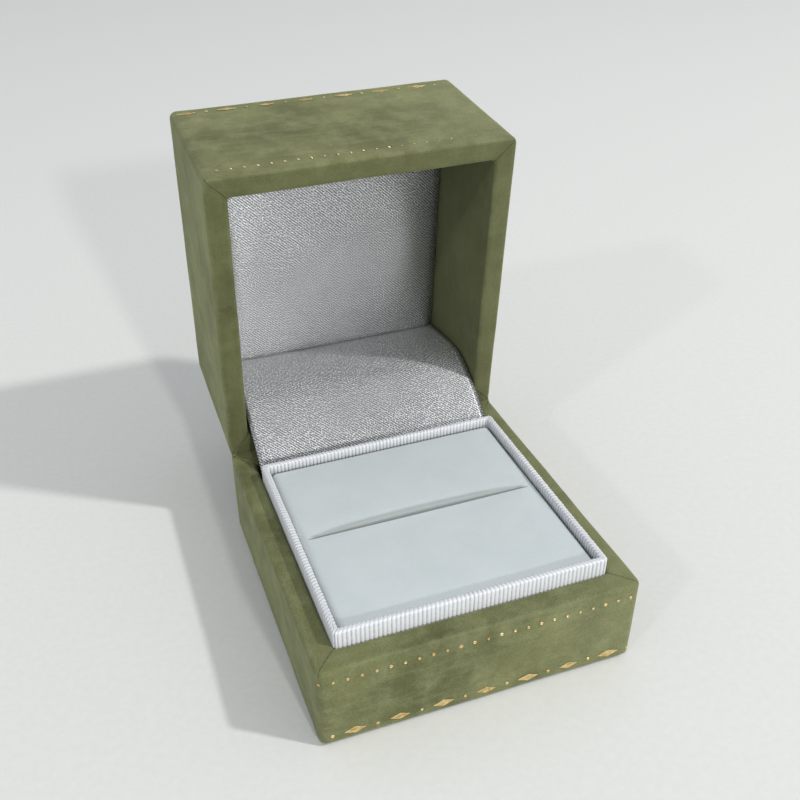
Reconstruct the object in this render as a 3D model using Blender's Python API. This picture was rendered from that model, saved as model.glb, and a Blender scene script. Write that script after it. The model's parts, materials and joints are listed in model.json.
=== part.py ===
"""Ring box: a cloth-covered case whose lid opens on a snap hinge at the back.

Sizes are metres, +Z is up and the box opens towards -Y. The origin is the centre of
the underside, which is the face that the box stands on. The lid is modelled closed,
in the hinge's own frame, and its parent empty turns it open about the hinge axis.
"""
import math

import bmesh
import bpy

# ---------------------------------------------------------------- driving dimensions
WIDTH = 0.0600
DEPTH = 0.0625
BASE_HEIGHT = 0.0184
LID_HEIGHT = 0.0331
WALL = 0.0042
LID_OPEN_DEG = 85.0

GAP = 0.0003
SUEDE = 0.0006
CORNER_RADIUS = 0.0014
CORNER_STEPS = 3

BOTTOM_CLOTH = 0.0005
BOTTOM_INSET = 0.0012
TURN_IN = 0.0070
SHELL_FLOOR = 0.0020
INNER_CLOTH_DROP = 0.0124

# The insert stands proud of the rim, and stops short of the hinge at the back.
INSERT_PROUD = 0.0033
INSERT_SIDE_GAP = 0.0003
INSERT_BACK_GAP = 0.0054
RIBBON = 0.0003
RIBBON_GAP = 0.00025
RIBBON_DROP = 0.0155
RIBBON_TURN = 0.0032
TRAY_CARD = 0.0004
CARD = 0.0010
PAD_BELOW_RIBBON = 0.0015
PAD_CLOTH = 0.0008
PAD_SKIRT = 0.0110
SLOT_LENGTH = 0.0447
SLOT_WIDTH = 0.0018
SLOT_LIP = 0.0007
SLOT_Y = -0.0018

# The lining sits in the top of the lid.
LINING_DEPTH = 0.0246
LINING_SIDE_GAP = 0.0006
LINING_CLOTH = 0.0005
LINING_BACK_INSET = 0.0010
LINING_SKIRT = 0.0043

# The hinge is pressed from sheet steel, with a knuckle at each end.
LEAF = 0.0005
LEAF_HALF_WIDTH = 0.0210
LEAF_NEAR = 0.0034
LEAF_FAR = 0.0130
KNUCKLE_RADIUS = 0.00135
BORE_RADIUS = 0.00085
PIN_RADIUS = 0.00055
BASE_LUG = (0.0130, 0.0162)
LID_LUG = (0.0165, 0.0197)
PIN_SPAN = (0.0128, 0.0199)
NOTCH_SPAN = (0.0125, 0.0202)
NOTCH_HEIGHT = 0.0030
SPRING = 0.0004
SPRING_BAND = (-0.0105, -0.0065)
SPRING_TIP_Y = -0.00175
SPRING_TIP_Z = -0.00055
RIVET_X = 0.0090
RIVET_Z = 0.0085
RIVET_RADIUS = 0.0006
RIVET_HEAD_RADIUS = 0.0014
RIVET_HEAD = 0.0005
RIVET_GRIP = 0.0018

APRON = 0.0005
APRON_SIDE_GAP = 0.0005
# The apron's section, as distances behind and above the hinge axis with the lid open.
APRON_SECTION = (
    (0.0235, 0.0082), (0.0195, 0.0088), (0.0153, 0.0093), (0.0110, 0.0096),
    (0.0070, 0.0094), (0.0043, 0.0086), (0.0019, 0.0073), (-0.0014, 0.0054),
    (-0.0040, 0.0036), (-0.0063, 0.0018), (-0.0080, 0.0002), (-0.0088, -0.0018),
    (-0.0090, -0.0050),
)

ROUND_STEPS = 20

# ---------------------------------------------------------------- derived sizes
HALF_W = WIDTH / 2
HALF_D = DEPTH / 2
AXIS_Z = BASE_HEIGHT + GAP / 2
SHELL_INSET = SUEDE + GAP
SHELL_WALL = WALL - 2 * SHELL_INSET
BASE_TURN_Z = BOTTOM_CLOTH + GAP
BASE_SHELL_Z = BASE_TURN_Z + SUEDE + GAP
INSERT_X = HALF_W - WALL - INSERT_SIDE_GAP
INSERT_FRONT = -HALF_D + WALL + INSERT_SIDE_GAP
INSERT_BACK = HALF_D - WALL - INSERT_BACK_GAP
INSERT_TOP = BASE_HEIGHT + INSERT_PROUD
TRAY_INSET = RIBBON + RIBBON_GAP
BAND_THICKNESS = 2 * TRAY_INSET + TRAY_CARD
TRAY_Z = BASE_SHELL_Z + SHELL_FLOOR + GAP
PAD_INSET = BAND_THICKNESS + GAP
PAD_TOP = INSERT_TOP - PAD_BELOW_RIBBON
BOARD_Z = TRAY_Z + TRAY_CARD + GAP
FOAM_Z = BOARD_Z + CARD + GAP
FOAM_TOP = PAD_TOP - PAD_CLOTH - GAP
FOAM_INSET = PAD_INSET + PAD_CLOTH + GAP
SLOT_HALF = SLOT_WIDTH / 2 + SLOT_LIP

LID_RIM_Z = GAP / 2
LID_TOP_Z = LID_RIM_Z + LID_HEIGHT
LID_TURN_Z = LID_TOP_Z - SUEDE - GAP
LID_SHELL_Z = LID_TURN_Z - SUEDE - GAP
LINING_INSET = WALL + LINING_SIDE_GAP
WADDING_INSET = LINING_INSET + LINING_CLOTH + GAP
LID_BOARD_TOP = LID_SHELL_Z - SHELL_FLOOR - GAP

BASE_PLAN = (-HALF_W, HALF_W, -HALF_D, HALF_D)
LID_PLAN = (-HALF_W, HALF_W, -DEPTH, 0.0)
INSERT_PLAN = (-INSERT_X, INSERT_X, INSERT_FRONT, INSERT_BACK)
LINING_PLAN = (-HALF_W, HALF_W, -DEPTH, -LINING_BACK_INSET)


# ---------------------------------------------------------------- helpers
def clear_scene():
    for item in list(bpy.data.objects):
        bpy.data.objects.remove(item, do_unlink=True)


def material(name, colour, roughness, metallic=0.0):
    made = bpy.data.materials.new(name)
    made.use_nodes = True
    shader = made.node_tree.nodes["Principled BSDF"]
    shader.inputs["Base Color"].default_value = (*colour, 1.0)
    shader.inputs["Roughness"].default_value = roughness
    shader.inputs["Metallic"].default_value = metallic
    return made


def add_object(name, mesh_data, finish=None, parent=None, smooth=False):
    """Make an object from a bmesh, with its faces turned outwards."""
    mesh_data.normal_update()
    bmesh.ops.recalc_face_normals(mesh_data, faces=mesh_data.faces)
    mesh = bpy.data.meshes.new(name)
    mesh_data.to_mesh(mesh)
    mesh_data.free()
    made = bpy.data.objects.new(name, mesh)
    bpy.context.scene.collection.objects.link(made)
    if finish is not None:
        mesh.materials.append(finish)
    if smooth:
        mesh.shade_smooth()
        mesh.set_sharp_from_angle(angle=math.radians(35))
    made.parent = parent
    return made


def inset_plan(plan, inset):
    x_low, x_high, y_low, y_high = plan
    return (x_low + inset, x_high - inset, y_low + inset, y_high - inset)


def rounded_loop(mesh_data, plan, z, radius):
    """One loop of vertices round a rectangle with rounded corners."""
    x_low, x_high, y_low, y_high = plan
    centres = (
        (x_high - radius, y_high - radius),
        (x_low + radius, y_high - radius),
        (x_low + radius, y_low + radius),
        (x_high - radius, y_low + radius),
    )
    loop = []
    for quarter, (x, y) in enumerate(centres):
        for step in range(CORNER_STEPS + 1):
            angle = math.pi / 2 * (quarter + step / CORNER_STEPS)
            place = (x + radius * math.cos(angle), y + radius * math.sin(angle), z)
            loop.append(mesh_data.verts.new(place))
    return loop


def sleeve_of_loops(name, plan, profile, finish, parent=None, ring=False):
    """A body whose section is a profile of (inset, height) points round a rectangle.

    A ring joins its last point to its first. Otherwise both ends are capped.
    """
    mesh_data = bmesh.new()
    loops = []
    for inset, z in profile:
        radius = max(CORNER_RADIUS - inset, GAP)
        loops.append(rounded_loop(mesh_data, inset_plan(plan, inset), z, radius))
    pairs = list(zip(loops, loops[1:]))
    if ring:
        pairs.append((loops[-1], loops[0]))
    else:
        mesh_data.faces.new(loops[0])
        mesh_data.faces.new(loops[-1])
    for lower, upper in pairs:
        for corner, here in enumerate(lower):
            after = (corner + 1) % len(lower)
            mesh_data.faces.new((here, lower[after], upper[after], upper[corner]))
    return add_object(name, mesh_data, finish, parent)


def slab(name, plan, low, high, finish, parent=None):
    return sleeve_of_loops(name, plan, ((0.0, low), (0.0, high)), finish, parent)


def box_mesh(low, high):
    mesh_data = bmesh.new()
    bmesh.ops.create_cube(mesh_data, size=1.0)
    for corner in mesh_data.verts:
        for axis in range(3):
            corner.co[axis] = high[axis] if corner.co[axis] > 0 else low[axis]
    return mesh_data


def rod_mesh(radius, centre, length, axis):
    """A round bar along X or Y."""
    mesh_data = bmesh.new()
    bmesh.ops.create_cone(
        mesh_data, cap_ends=True, segments=ROUND_STEPS,
        radius1=radius, radius2=radius, depth=length,
    )
    for corner in mesh_data.verts:
        across, up, along = corner.co
        turned = (along, across, up) if axis == "X" else (across, along, up)
        corner.co = [start + offset for start, offset in zip(centre, turned)]
    return mesh_data


def strip_mesh(outline, x_low, x_high):
    """An outline of (y, z) points, carried along X."""
    mesh_data = bmesh.new()
    corners = [mesh_data.verts.new((x_low, y, z)) for y, z in outline]
    face = mesh_data.faces.new(corners)
    grown = bmesh.ops.extrude_face_region(mesh_data, geom=[face])
    moved = [item for item in grown["geom"] if isinstance(item, bmesh.types.BMVert)]
    bmesh.ops.translate(mesh_data, verts=moved, vec=(x_high - x_low, 0, 0))
    return mesh_data


def combine(target, tool, operation):
    """Join a tool onto a body, or cut it out. The tool itself isn't a piece."""
    tool.hide_render = True
    tool.display_type = "WIRE"
    change = target.modifiers.new(operation.lower(), "BOOLEAN")
    change.operation = operation
    change.solver = "EXACT"
    change.object = tool


def both_sides(span):
    """A span of X on the right, and its mirror on the left."""
    return (span, (-span[1], -span[0]))


# ---------------------------------------------------------------- cloth, shells
def wall_profile(rim, turn, far, inner_end):
    """The section of the cloth: over the rim, down both faces and turned in."""
    towards = 1 if rim > turn else -1
    return (
        (TURN_IN, turn), (0.0, turn), (0.0, rim), (WALL, rim),
        (WALL, inner_end), (WALL - SUEDE, inner_end),
        (WALL - SUEDE, rim - towards * SUEDE), (SUEDE, rim - towards * SUEDE),
        (SUEDE, far), (TURN_IN, far),
    )


def shell_profile(rim, outside, inside):
    inner_inset = SHELL_INSET + SHELL_WALL
    return (
        (SHELL_INSET, outside), (SHELL_INSET, rim),
        (inner_inset, rim), (inner_inset, inside),
    )


def cut_hinge_notches(target, parent, facing):
    """Openings in the back wall's rim for the knuckles."""
    heights = sorted((facing * (NOTCH_HEIGHT + GAP / 2), -facing * KNUCKLE_RADIUS))
    for low, high in both_sides(NOTCH_SPAN):
        tool = box_mesh((low, -WALL - GAP, heights[0]), (high, WALL, heights[1]))
        cutter = add_object(target.name + "_notch", tool, parent=parent)
        combine(target, cutter, "DIFFERENCE")


def cut_leaf_pocket(target, parent, facing):
    """The cloth stops short of the leaf, which lies on the shell."""
    heights = sorted((facing * (LEAF_NEAR - GAP), facing * (LEAF_FAR + GAP)))
    half = LEAF_HALF_WIDTH + GAP
    tool = box_mesh((-half, -WALL - GAP, heights[0]), (half, -WALL + SUEDE + GAP, heights[1]))
    cutter = add_object(target.name + "_leaf_pocket", tool, parent=parent)
    combine(target, cutter, "DIFFERENCE")


def cut_rivet_holes(target, parent, facing):
    for x in (RIVET_X, -RIVET_X):
        centre = (x, -WALL + RIVET_GRIP, facing * RIVET_Z)
        tool = rod_mesh(RIVET_RADIUS + GAP, centre, 3 * RIVET_GRIP, "Y")
        cutter = add_object(target.name + "_rivet_hole", tool, parent=parent)
        combine(target, cutter, "DIFFERENCE")


def make_base_case(axis, suede, plastic):
    slab("base_bottom_cloth", inset_plan(BASE_PLAN, BOTTOM_INSET), 0.0, BOTTOM_CLOTH, suede)

    cloth = wall_profile(
        BASE_HEIGHT, BASE_TURN_Z, BASE_TURN_Z + SUEDE, BASE_HEIGHT - INNER_CLOTH_DROP
    )
    wrap = sleeve_of_loops("base_wrap", BASE_PLAN, cloth, suede, ring=True)
    cut_hinge_notches(wrap, axis, -1)
    cut_leaf_pocket(wrap, axis, -1)

    walls = shell_profile(
        BASE_HEIGHT - SUEDE - GAP, BASE_SHELL_Z, BASE_SHELL_Z + SHELL_FLOOR
    )
    shell = sleeve_of_loops("base_shell", BASE_PLAN, walls, plastic)
    cut_hinge_notches(shell, axis, -1)
    cut_rivet_holes(shell, axis, -1)


def make_lid_case(axis, suede, plastic):
    top = inset_plan(LID_PLAN, BOTTOM_INSET)
    slab("lid_top_panel", top, LID_TOP_Z - SUEDE, LID_TOP_Z, suede, axis)

    cloth = wall_profile(
        LID_RIM_Z, LID_TURN_Z, LID_TURN_Z - SUEDE, LID_RIM_Z + LINING_DEPTH - GAP
    )
    wrap = sleeve_of_loops("lid_wrap", LID_PLAN, cloth, suede, axis, ring=True)
    cut_hinge_notches(wrap, axis, 1)
    cut_leaf_pocket(wrap, axis, 1)

    walls = shell_profile(
        LID_RIM_Z + SUEDE + GAP, LID_SHELL_Z, LID_SHELL_Z - SHELL_FLOOR
    )
    shell = sleeve_of_loops("lid_shell", LID_PLAN, walls, plastic, axis)
    cut_hinge_notches(shell, axis, 1)
    cut_rivet_holes(shell, axis, 1)


# ---------------------------------------------------------------- insert and pad
def make_insert(card, ribbon, velvet, foam):
    tray = (
        (TRAY_INSET, TRAY_Z), (TRAY_INSET, INSERT_TOP - TRAY_INSET),
        (TRAY_INSET + TRAY_CARD, INSERT_TOP - TRAY_INSET),
        (TRAY_INSET + TRAY_CARD, TRAY_Z + TRAY_CARD),
    )
    sleeve_of_loops("insert_tray", INSERT_PLAN, tray, card)

    inner = BAND_THICKNESS
    band = (
        (0.0, INSERT_TOP - RIBBON_DROP), (0.0, INSERT_TOP), (inner, INSERT_TOP),
        (inner, INSERT_TOP - RIBBON_TURN), (inner - RIBBON, INSERT_TOP - RIBBON_TURN),
        (inner - RIBBON, INSERT_TOP - RIBBON), (RIBBON, INSERT_TOP - RIBBON),
        (RIBBON, INSERT_TOP - RIBBON_DROP),
    )
    sleeve_of_loops("ribbon_band", INSERT_PLAN, band, ribbon, ring=True)

    board = inset_plan(INSERT_PLAN, FOAM_INSET)
    slab("pad_board", board, BOARD_Z, BOARD_Z + CARD, card)

    for name, low, high in (
        ("pad_foam_front", board[2], SLOT_Y - SLOT_HALF - GAP),
        ("pad_foam_rear", SLOT_Y + SLOT_HALF + GAP, board[3]),
    ):
        slab(name, (board[0], board[1], low, high), FOAM_Z, FOAM_TOP, foam)

    make_pad_cover(board, velvet)


def make_pad_cover(foam_plan, velvet):
    """A cloth cap over both foams, with a slit between them for the ring."""
    cap_plan = inset_plan(INSERT_PLAN, PAD_INSET)
    cap = slab("pad_cover", cap_plan, PAD_TOP - PAD_SKIRT, PAD_TOP, velvet)
    pocket_low = PAD_TOP - PAD_SKIRT - GAP
    for name, low, high in (
        ("front_pocket", foam_plan[2] - GAP, SLOT_Y - SLOT_HALF),
        ("rear_pocket", SLOT_Y + SLOT_HALF, foam_plan[3] + GAP),
    ):
        tool = box_mesh(
            (foam_plan[0] - GAP, low, pocket_low),
            (foam_plan[1] + GAP, high, PAD_TOP - PAD_CLOTH),
        )
        combine(cap, add_object(name, tool), "DIFFERENCE")

    slit = bmesh.new()
    bmesh.ops.create_cone(
        slit, cap_ends=True, segments=2 * ROUND_STEPS,
        radius1=0.5, radius2=0.5, depth=2 * PAD_SKIRT,
    )
    bmesh.ops.scale(slit, verts=slit.verts, vec=(SLOT_LENGTH, SLOT_WIDTH, 2))
    bmesh.ops.translate(slit, verts=slit.verts, vec=(0, SLOT_Y, PAD_TOP))
    combine(cap, add_object("ring_slit", slit), "DIFFERENCE")


# ---------------------------------------------------------------- lining and apron
def make_lining(axis, satin, foam, card):
    face = LID_RIM_Z + LINING_DEPTH
    within = LINING_INSET + LINING_CLOTH
    cup = (
        (LINING_INSET, face), (LINING_INSET, face + LINING_SKIRT),
        (within, face + LINING_SKIRT), (within, face + LINING_CLOTH),
    )
    sleeve_of_loops("lid_lining_satin", LINING_PLAN, cup, satin, axis)

    inside = inset_plan(LINING_PLAN, WADDING_INSET)
    board_low = LID_BOARD_TOP - CARD
    slab("lid_lining_board", inside, board_low, LID_BOARD_TOP, card, axis)
    wadding_low = face + LINING_CLOTH + GAP
    slab("lid_lining_wadding", inside, wadding_low, board_low - GAP, foam, axis)


def make_apron(axis, satin):
    """A loose strip of satin that hides the hinge, from the lining to the insert."""
    upper = []
    lower = []
    last = len(APRON_SECTION) - 1
    for place, (y, z) in enumerate(APRON_SECTION):
        before = APRON_SECTION[max(place - 1, 0)]
        after = APRON_SECTION[min(place + 1, last)]
        run = math.hypot(after[0] - before[0], after[1] - before[1])
        across_y = (before[1] - after[1]) / run * APRON / 2
        across_z = (after[0] - before[0]) / run * APRON / 2
        upper.append((y + across_y, z + across_z))
        lower.append((y - across_y, z - across_z))
    half = HALF_W - WALL - APRON_SIDE_GAP
    strip = strip_mesh(upper + lower[::-1], -half, half)
    add_object("satin_apron", strip, satin, axis, smooth=True)


# ---------------------------------------------------------------- hinge
def lug_outline(facing):
    """A strip that runs up the leaf, through the notch and round the pin."""
    outline = [(-WALL, -LEAF_NEAR - LEAF), (-WALL + LEAF, -LEAF_NEAR - LEAF)]
    outline.append((-WALL + LEAF, -KNUCKLE_RADIUS))
    start = -math.pi / 2
    top_of_strip = -KNUCKLE_RADIUS + LEAF
    finish = math.pi + math.asin(-top_of_strip / KNUCKLE_RADIUS)
    for step in range(ROUND_STEPS + 1):
        angle = start + (finish - start) * step / ROUND_STEPS
        outline.append((KNUCKLE_RADIUS * math.cos(angle), KNUCKLE_RADIUS * math.sin(angle)))
    outline.append((-WALL, top_of_strip))
    return [(y, -facing * z) for y, z in outline]


def make_leaf(name, parent, facing, lug, steel):
    heights = sorted((facing * LEAF_NEAR, facing * LEAF_FAR))
    plate = box_mesh(
        (-LEAF_HALF_WIDTH, -WALL, heights[0]),
        (LEAF_HALF_WIDTH, -WALL + LEAF, heights[1]),
    )
    leaf = add_object(name, plate, steel, parent)
    for low, high in both_sides(lug):
        knuckle = add_object(name + "_lug", strip_mesh(lug_outline(facing), low, high), parent=parent)
        combine(leaf, knuckle, "UNION")
        centre = ((low + high) / 2, 0, 0)
        bore = rod_mesh(BORE_RADIUS, centre, (high - low) * 1.5, "X")
        combine(leaf, add_object(name + "_bore", bore, parent=parent), "DIFFERENCE")
    cut_rivet_holes(leaf, parent, facing)


def make_spring(axis, steel):
    """One plate under the base rivets, with a finger up to each lid knuckle."""
    back = -WALL - GAP
    front = back - SPRING
    plate = box_mesh(
        (-LID_LUG[1], front, SPRING_BAND[0]), (LID_LUG[1], back, SPRING_BAND[1])
    )
    spring = add_object("hinge_spring", plate, steel, axis)
    root = (SPRING_BAND[0] + SPRING_BAND[1]) / 2
    tip_low = SPRING_TIP_Z - SPRING
    finger = (
        (front, root), (back, root), (back, tip_low),
        (SPRING_TIP_Y, tip_low), (SPRING_TIP_Y, SPRING_TIP_Z), (front, SPRING_TIP_Z),
    )
    for low, high in both_sides(LID_LUG):
        arm = add_object("spring_finger", strip_mesh(finger, low, high), parent=axis)
        combine(spring, arm, "UNION")
    cut_rivet_holes(spring, axis, -1)


def make_rivet(name, parent, x, facing, stack, steel):
    """A flat head on the inside, and a shank that ends in the shell's wall."""
    head_back = -WALL - GAP - stack
    tip = -WALL + RIVET_GRIP
    z = facing * RIVET_Z
    head_centre = (x, head_back - RIVET_HEAD / 2, z)
    head = add_object(name, rod_mesh(RIVET_HEAD_RADIUS, head_centre, RIVET_HEAD, "Y"), steel, parent)
    overlap = RIVET_HEAD / 2
    length = tip - head_back + overlap
    shank_centre = (x, tip - length / 2, z)
    shank = rod_mesh(RIVET_RADIUS, shank_centre, length, "Y")
    combine(head, add_object(name + "_shank", shank, parent=parent), "UNION")


def make_hinge(base_axis, lid_axis, steel, spring_steel):
    make_leaf("hinge_base_leaf", base_axis, -1, BASE_LUG, steel)
    make_leaf("hinge_lid_leaf", lid_axis, 1, LID_LUG, steel)
    make_spring(base_axis, spring_steel)
    spring_stack = SPRING + GAP
    for side, sign in (("right", 1), ("left", -1)):
        centre = (sign * (PIN_SPAN[0] + PIN_SPAN[1]) / 2, 0, 0)
        pin = rod_mesh(PIN_RADIUS, centre, PIN_SPAN[1] - PIN_SPAN[0], "X")
        add_object("hinge_pin_" + side, pin, steel, base_axis, smooth=True)
        make_rivet("base_rivet_" + side, base_axis, sign * RIVET_X, -1, spring_stack, steel)
        make_rivet("lid_rivet_" + side, lid_axis, sign * RIVET_X, 1, 0.0, steel)


# ---------------------------------------------------------------- assembly
def axis_empty(name, opened_deg):
    empty = bpy.data.objects.new(name, None)
    empty.location = (0, HALF_D, AXIS_Z)
    empty.rotation_euler = (-math.radians(opened_deg), 0, 0)
    bpy.context.scene.collection.objects.link(empty)
    return empty


def main():
    clear_scene()
    suede = material("olive_suede", (0.165, 0.175, 0.072), 0.9)
    plastic = material("shell_plastic", (0.10, 0.11, 0.07), 0.5)
    card = material("grey_card", (0.55, 0.53, 0.48), 0.85)
    ribbon = material("white_ribbon", (0.80, 0.79, 0.84), 0.6)
    velvet = material("white_velvet", (0.68, 0.72, 0.72), 0.9)
    foam = material("white_foam", (0.85, 0.84, 0.80), 0.95)
    satin = material("silver_satin", (0.52, 0.51, 0.52), 0.35)
    steel = material("plated_steel", (0.62, 0.56, 0.42), 0.3, 1.0)
    spring_steel = material("spring_steel", (0.45, 0.46, 0.48), 0.35, 1.0)

    base_axis = axis_empty("hinge_axis", 0.0)
    lid_axis = axis_empty("lid_axis", LID_OPEN_DEG)

    make_base_case(base_axis, suede, plastic)
    make_insert(card, ribbon, velvet, foam)
    make_lid_case(lid_axis, suede, plastic)
    make_lining(lid_axis, satin, foam, card)
    make_hinge(base_axis, lid_axis, steel, spring_steel)
    make_apron(base_axis, satin)


main()
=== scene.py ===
# %% [markdown]
# # Finishing a ring box
#
# The box is already there as plain solids with real sizes and one real hinge. This lesson dresses
# it: suede over the case, gold foil tooling, a grosgrain ribbon, a soft pad with a slit for the
# ring, and satin in the lid. Each new piece takes its place from the solid that it stands for, so
# nothing is fitted by eye, and each one, apart from the satin strip over the hinge, is told which
# half of the box it moves with.

# %% Load the frame
import json
import math
import random

import bmesh
import bpy
from mathutils import Matrix, Vector, noise


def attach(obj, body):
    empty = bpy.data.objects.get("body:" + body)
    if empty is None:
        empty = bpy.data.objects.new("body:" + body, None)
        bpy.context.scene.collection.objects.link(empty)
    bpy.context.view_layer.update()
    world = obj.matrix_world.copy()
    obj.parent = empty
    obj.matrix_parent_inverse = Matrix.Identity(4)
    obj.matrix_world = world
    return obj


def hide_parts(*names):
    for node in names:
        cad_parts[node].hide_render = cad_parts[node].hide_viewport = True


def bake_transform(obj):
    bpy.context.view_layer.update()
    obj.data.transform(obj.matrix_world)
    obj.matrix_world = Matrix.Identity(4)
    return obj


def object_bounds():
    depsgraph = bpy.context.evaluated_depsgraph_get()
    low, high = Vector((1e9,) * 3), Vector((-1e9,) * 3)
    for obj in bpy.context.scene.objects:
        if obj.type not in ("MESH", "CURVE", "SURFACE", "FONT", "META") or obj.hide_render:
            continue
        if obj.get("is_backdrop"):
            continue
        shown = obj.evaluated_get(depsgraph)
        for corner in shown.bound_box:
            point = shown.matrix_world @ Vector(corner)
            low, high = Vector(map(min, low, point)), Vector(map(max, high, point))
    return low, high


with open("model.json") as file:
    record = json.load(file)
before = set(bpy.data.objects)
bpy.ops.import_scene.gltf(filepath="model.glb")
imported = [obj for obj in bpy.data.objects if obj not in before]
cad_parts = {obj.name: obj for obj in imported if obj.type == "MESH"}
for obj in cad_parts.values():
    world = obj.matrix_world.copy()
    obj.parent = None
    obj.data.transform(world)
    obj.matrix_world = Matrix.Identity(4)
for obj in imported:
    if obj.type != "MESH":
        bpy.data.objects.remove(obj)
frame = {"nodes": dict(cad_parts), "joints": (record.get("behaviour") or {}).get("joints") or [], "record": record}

cad_low, cad_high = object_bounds()
print("solids:", len(frame["nodes"]), "size in mm:", [round(s * 1000, 1) for s in cad_high - cad_low])

# %% [markdown]
# ## Millimetres, and the lid shut
#
# The solids are in metres, and a ring box is easier to think about in millimetres. Every mesh
# here is modelled in millimetres and brought to metres at the very end. The lid is stored open,
# which makes its walls slanted. It is easier to model it shut, with its rim flat, and then turn
# it open about the hinge, as the real one moves.

# %% Measure the solids
MM = 0.001
TO_METRES = Matrix.Scale(MM, 4)
hinge = frame["joints"][0]
HINGE_PLACE = Vector(hinge["pos_m"]) / MM
OPENING = math.radians(hinge["range_deg"][1])
OPEN_LID = Matrix.Translation(HINGE_PLACE) @ Matrix.Rotation(-OPENING, 4, "X")


def box_of(node, shut=False):
    """Lowest and highest corner of a solid in mm, with the lid turned shut if asked."""
    turn = OPEN_LID.inverted() if shut else Matrix.Identity(4)
    places = [turn @ (v.co / MM) for v in frame["nodes"][node].data.vertices]
    low = Vector([min(p[axis] for p in places) for axis in range(3)])
    high = Vector([max(p[axis] for p in places) for axis in range(3)])
    return low, high


base_low, base_high = box_of("base_wrap")
lid_low, lid_high = box_of("lid_wrap", shut=True)
HALF_X = (base_high.x - base_low.x) / 2
HALF_Y = (base_high.y - base_low.y) / 2
RIM = base_high.z
print("base", base_low[:], base_high[:])
print("lid when shut", lid_low[:], lid_high[:])

# %% [markdown]
# ## Tools of the bench
#
# A few helpers are used by every piece: a block of a given size, a way to slice a mesh into
# small cells so that it can bend, and a gentle unevenness, because cloth that was glued by hand
# never lies perfectly flat. The last helper stores a finished mesh as an object at the origin.


# %% Shape helpers
def block(bm, low, high):
    """A box between two corners. Returns its vertices."""
    low, high = Vector(low), Vector(high)
    corners = bmesh.ops.create_cube(bm, size=1.0)["verts"]
    bmesh.ops.scale(bm, verts=corners, vec=high - low)
    bmesh.ops.translate(bm, verts=corners, vec=(low + high) / 2)
    bm.normal_update()
    return corners


def round_edges(bm, edges, radius, steps):
    bmesh.ops.bevel(
        bm, geom=edges, offset=radius, offset_type="OFFSET", segments=steps,
        profile=0.5, affect="EDGES", material=-1,
    )
    bm.normal_update()


def upright_edges(bm, tall=1.0):
    return [e for e in bm.edges if abs(e.verts[0].co.z - e.verts[1].co.z) > tall]


def cut_with_plane(bm, point, normal, keep=None):
    """Cut the mesh, or only the faces that keep() picks, with a plane."""
    faces = [f for f in bm.faces if keep is None or keep(f.calc_center_median())]
    edges = {e for f in faces for e in f.edges}
    verts = {v for f in faces for v in f.verts}
    bmesh.ops.bisect_plane(
        bm, geom=[*faces, *edges, *verts], dist=1e-5, plane_co=point, plane_no=normal
    )


def cut_along(bm, axis, place, keep=None):
    """The same, with a plane across one axis."""
    normal = Vector([float(axis == i) for i in range(3)])
    cut_with_plane(bm, normal * place, normal, keep)


def slice_into_cells(bm, cell, axes=(0, 1, 2)):
    """Cut the mesh with evenly spaced planes, so that it has detail to bend."""
    for axis in axes:
        places = [v.co[axis] for v in bm.verts]
        low, high = min(places), max(places)
        count = max(1, round((high - low) / cell))
        for step in range(1, count):
            cut_along(bm, axis, low + (high - low) * step / count)
    bm.normal_update()


def make_uneven(bm, amount, size, seed):
    """Push each vertex along its normal by a smooth random amount, in patches of this size."""
    bm.normal_update()
    start = Vector((seed * 17.3, seed * 5.1, seed * 9.7))
    shifts = [v.normal * amount * noise.noise(v.co / size + start) for v in bm.verts]
    for vert, shift in zip(bm.verts, shifts):
        vert.co += shift


# %% Storing a finished piece
def store(name, bm, finish, place=None, sharp=40.0):
    """Turn a bmesh in mm into an object in metres, smooth except at its sharp edges."""
    bmesh.ops.transform(bm, matrix=TO_METRES @ (place or Matrix.Identity(4)), verts=bm.verts)
    mesh = bpy.data.meshes.new(name)
    bm.to_mesh(mesh)
    bm.free()
    mesh.materials.append(finish)
    mesh.shade_smooth()
    mesh.set_sharp_from_angle(angle=math.radians(sharp))
    piece = bpy.data.objects.new(name, mesh)
    bpy.context.scene.collection.objects.link(piece)
    print(name, "faces:", len(mesh.polygons))
    return piece


def give_thickness(piece, thickness, offset=-1.0):
    """Cloth has two faces and cut edges. The thickness grows inwards."""
    wall = piece.modifiers.new("cloth_thickness", "SOLIDIFY")
    wall.thickness = thickness * MM
    wall.offset = offset


# %% [markdown]
# ## Finishes
#
# A finish is a small network of nodes. Noise at several sizes gives the patches, strokes and
# fibres that make a surface read as suede or satin. The patterns sit on the object's own
# coordinates, or on a map that follows the cloth, so that they stay put when the lid moves.


# %% Finish helpers
def new_finish(name, **sockets):
    """A material whose shader starts with these plain values."""
    finish = bpy.data.materials.new(name)
    finish.use_nodes = True
    shader = finish.node_tree.nodes["Principled BSDF"]
    for socket, value in sockets.items():
        shader.inputs[socket.replace("_", " ")].default_value = value
    return finish


def add(finish, kind, links=(), **settings):
    """Add a node, set what it needs, and link its inputs by name or number."""
    made = finish.node_tree.nodes.new("ShaderNode" + kind)
    for name, value in settings.items():
        setattr(made, name, value)
    for socket, source in dict(links).items():
        if isinstance(source, bpy.types.NodeSocket):
            finish.node_tree.links.new(source, made.inputs[socket])
        else:
            made.inputs[socket].default_value = source
    return made


def shader_of(finish):
    return finish.node_tree.nodes["Principled BSDF"]


def feed(finish, socket, source):
    finish.node_tree.links.new(source, shader_of(finish).inputs[socket])


def place_on(finish, map_name=None):
    """Where a point is: on the object itself, or on a map that follows the cloth."""
    if map_name is None:
        return add(finish, "TexCoord").outputs["Object"]
    return add(finish, "UVMap", uv_map=map_name).outputs["UV"]


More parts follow.
